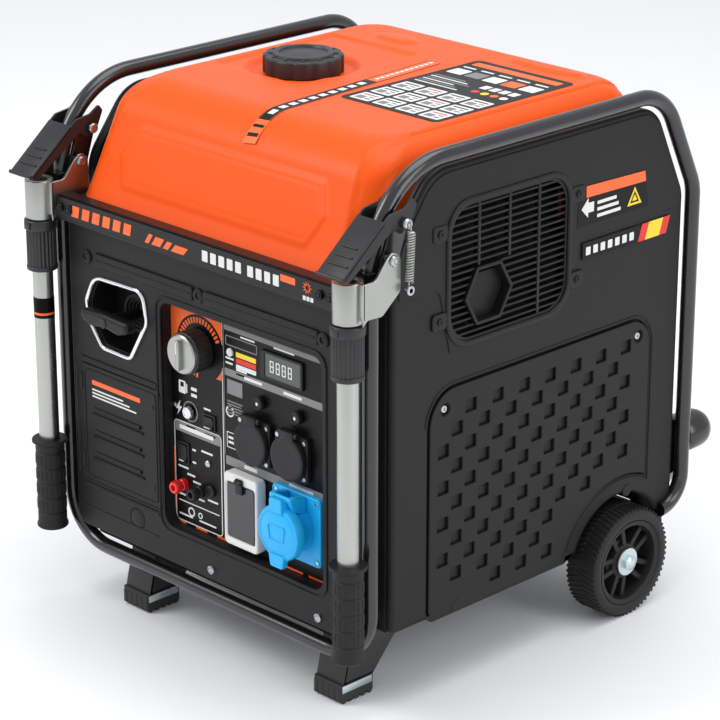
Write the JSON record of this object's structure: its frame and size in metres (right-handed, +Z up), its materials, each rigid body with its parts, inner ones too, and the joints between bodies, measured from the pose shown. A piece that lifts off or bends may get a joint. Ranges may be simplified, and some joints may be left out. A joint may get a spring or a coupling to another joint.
{
  "type": "portable generator",
  "caption": "Enclosed inverter generator: tubular cage, tank cover, control panel with lidded sockets, fold-out telescopic handles, two wheels and two feet.",
  "frame": {"origin": "middle of the overall footprint, on the ground under the pads and wheels", "axes": "+X along the axle to the exhaust side, +Y from the control panel to the back, +Z up"},
  "size_m": [0.6014, 0.6759, 0.684],
  "materials": {
    "cage_paint": "satin",
    "header_paint": "satin",
    "tray_paint": "satin",
    "zinc": "satin",
    "pad_rubber": "matte",
    "bumper_rubber": "gloss",
    "casing_plastic": "satin",
    "cover_plastic": "satin",
    "tank_plastic": "matte",
    "cap_plastic": "satin",
    "trim_plastic": "satin",
    "chrome_trim": "polished",
    "bolt_steel": "satin",
    "panel_print": "satin",
    "display": "gloss",
    "socket_black": "satin",
    "button_metal": "satin",
    "terminal_red": "gloss",
    "box_white": "satin",
    "smoked_window": "gloss",
    "socket_blue": "satin",
    "tyre_rubber": "matte",
    "nickel_steel": "satin",
    "tube_alloy": "satin",
    "grip_rubber": "matte",
    "lever_plastic": "satin",
    "engine_alloy": "cast",
    "muffler_steel": "matte",
    "shaft_steel": "machined",
    "heat_sink": "satin"
  },
  "bodies": {
    "chassis": {"front_hoop": "cage_paint", "side_rail_right": "cage_paint", "side_rail_left": "cage_paint", "hinge_plates": "cage_paint", "header_bar": "header_paint", "base_tray": "tray_paint", "axle": "zinc", "front_foot_brackets": "tray_paint", "foot_pads": "pad_rubber", "rear_bumpers": "bumper_rubber", "front_shell": "casing_plastic", "right_shell": "casing_plastic", "left_shell": "casing_plastic", "rear_shell": "casing_plastic", "tank_cover": "cover_plastic", "fuel_tank": "tank_plastic", "access_panel_right": "casing_plastic", "access_panel_left": "casing_plastic", "exhaust_grille": "trim_plastic", "intake_grille": "trim_plastic", "exhaust_collar": "trim_plastic", "recoil_cup": "trim_plastic", "recoil_trim": "chrome_trim", "bolts": "bolt_steel", "control_panel": "panel_print", "display_module": "display", "terminal_posts": "terminal_red", "socket_bases": "socket_black", "breaker_box": "box_white", "heavy_socket_base": "socket_blue", "latch_springs": "nickel_steel", "engine_set": "engine_alloy", "muffler": "muffler_steel", "inverter_pack": "heat_sink"},
    "fuel_cap": {"fuel_cap": "cap_plastic"},
    "recoil_grip": {"recoil_handle": "trim_plastic"},
    "service_door": {"service_door": "casing_plastic"},
    "dial": {"dial_knob": "cap_plastic"},
    "start_button": {"start_button": "button_metal"},
    "mode_rocker": {"mode_rocker": "socket_black"},
    "dc_rocker": {"dc_rocker": "socket_black"},
    "socket_lid_inner": {"socket_lid_inner": "socket_black"},
    "socket_lid_outer": {"socket_lid_outer": "socket_black"},
    "breaker_window": {"breaker_window": "smoked_window"},
    "heavy_lid": {"heavy_socket_lid": "socket_blue"},
    "wheel_right": {"wheel_right": "tyre_rubber"},
    "wheel_left": {"wheel_left": "tyre_rubber"},
    "handle_right": {"handle_bracket_right": "nickel_steel"},
    "handle_left": {"handle_bracket_left": "nickel_steel"},
    "collar_right": {"collar_right": "cap_plastic"},
    "collar_left": {"collar_left": "cap_plastic"},
    "tube_right": {"handle_tube_right": "tube_alloy", "grip_right": "grip_rubber"},
    "tube_left": {"handle_tube_left": "tube_alloy", "grip_left": "grip_rubber"},
    "latch_right": {"latch_right": "lever_plastic"},
    "latch_left": {"latch_left": "lever_plastic"},
    "crank": {"crankshaft": "shaft_steel"},
    "reset_button_inner": {"reset_button_inner": "socket_black"},
    "reset_button_outer": {"reset_button_outer": "socket_black"}
  },
  "joints": [
    {"name": "fuel_cap_turn", "type": "hinge", "parent": "chassis", "child": "fuel_cap", "pos_m": [-0.104, -0.026, 0.672], "axis": [0, 0, 1], "range_deg": [0, 120]},
    {"name": "recoil_pull", "type": "slide", "parent": "chassis", "child": "recoil_grip", "axis": [0, -1, 0], "range_m": [0, 0.06], "stiffness_N_per_m": 60, "springref_m": -0.005},
    {"name": "service_door_swing", "type": "hinge", "parent": "chassis", "child": "service_door", "pos_m": [-0.222, -0.29, 0.242], "axis": [0, 0, -1], "range_deg": [0, 100]},
    {"name": "dial_turn", "type": "hinge", "parent": "chassis", "child": "dial", "pos_m": [-0.022, -0.272, 0.383], "axis": [0, -1, 0], "range_deg": [0, 180]},
    {"name": "start_press", "type": "slide", "parent": "chassis", "child": "start_button", "axis": [0, 1, 0], "range_m": [0, 0.0015], "stiffness_N_per_m": 300},
    {"name": "mode_rock", "type": "hinge", "parent": "chassis", "child": "mode_rocker", "pos_m": [-0.008, -0.271, 0.2935], "axis": [1, 0, 0], "range_deg": [0, 12]},
    {"name": "dc_rock", "type": "hinge", "parent": "chassis", "child": "dc_rocker", "pos_m": [-0.055, -0.271, 0.242], "axis": [1, 0, 0], "range_deg": [0, 12]},
    {"name": "reset_press_inner", "type": "slide", "parent": "chassis", "child": "reset_button_inner", "axis": [0, 1, 0], "range_m": [0, 0.0015], "stiffness_N_per_m": 300},
    {"name": "reset_press_outer", "type": "slide", "parent": "chassis", "child": "reset_button_outer", "axis": [0, 1, 0], "range_m": [0, 0.0015], "stiffness_N_per_m": 300},
    {"name": "socket_lid_inner_lift", "type": "hinge", "parent": "chassis", "child": "socket_lid_inner", "pos_m": [0.075, -0.2825, 0.324], "axis": [-1, 0, 0], "range_deg": [0, 110], "stiffness_Nm_per_rad": 0.02, "springref_deg": -28.65},
    {"name": "socket_lid_outer_lift", "type": "hinge", "parent": "chassis", "child": "socket_lid_outer", "pos_m": [0.138, -0.2825, 0.324], "axis": [-1, 0, 0], "range_deg": [0, 110], "stiffness_Nm_per_rad": 0.02, "springref_deg": -28.65},
    {"name": "breaker_window_lift", "type": "hinge", "parent": "chassis", "child": "breaker_window", "pos_m": [0.06, -0.2875, 0.1685], "axis": [1, 0, 0], "range_deg": [0, 100]},
    {"name": "heavy_lid_lift", "type": "hinge", "parent": "chassis", "child": "heavy_lid", "pos_m": [0.147, -0.303, 0.255], "axis": [-1, 0, 0], "range_deg": [0, 110], "stiffness_Nm_per_rad": 0.05, "springref_deg": -34.38},
    {"name": "wheel_right_spin", "type": "hinge", "parent": "chassis", "child": "wheel_right", "pos_m": [0.261, 0.157, 0.07], "axis": [1, 0, 0], "continuous": true},
    {"name": "handle_right_fold", "type": "hinge", "parent": "chassis", "child": "handle_right", "pos_m": [0.264, -0.265, 0.563], "axis": [-1, 0, 0], "range_deg": [0, 85]},
    {"name": "collar_right_turn", "type": "hinge", "parent": "handle_right", "child": "collar_right", "pos_m": [0.264, -0.311, 0.465], "axis": [0, 0, 1], "range_deg": [0, 90]},
    {"name": "tube_right_extend", "type": "slide", "parent": "handle_right", "child": "tube_right", "axis": [0, 0, -1], "range_m": [0, 0.09]},
    {"name": "latch_right_lift", "type": "hinge", "parent": "chassis", "child": "latch_right", "pos_m": [0.264, -0.245, 0.6], "axis": [-1, 0, 0], "range_deg": [0, 60]},
    {"name": "wheel_left_spin", "type": "hinge", "parent": "chassis", "child": "wheel_left", "pos_m": [-0.261, 0.157, 0.07], "axis": [1, 0, 0], "continuous": true},
    {"name": "handle_left_fold", "type": "hinge", "parent": "chassis", "child": "handle_left", "pos_m": [-0.264, -0.265, 0.563], "axis": [-1, 0, 0], "range_deg": [0, 85]},
    {"name": "collar_left_turn", "type": "hinge", "parent": "handle_left", "child": "collar_left", "pos_m": [-0.264, -0.311, 0.465], "axis": [0, 0, 1], "range_deg": [0, 90]},
    {"name": "tube_left_extend", "type": "slide", "parent": "handle_left", "child": "tube_left", "axis": [0, 0, -1], "range_m": [0, 0.09]},
    {"name": "latch_left_lift", "type": "hinge", "parent": "chassis", "child": "latch_left", "pos_m": [-0.264, -0.245, 0.6], "axis": [-1, 0, 0], "range_deg": [0, 60]},
    {"name": "crank_spin", "type": "hinge", "parent": "chassis", "child": "crank", "pos_m": [-0.02, -0.05, 0.235], "axis": [0, 1, 0], "continuous": true}
  ],
  "couplings": [
    {"joint": "latch_right_lift", "follows": "handle_right_fold", "ratio": 0.65},
    {"joint": "latch_left_lift", "follows": "handle_left_fold", "ratio": 0.65}
  ]
}
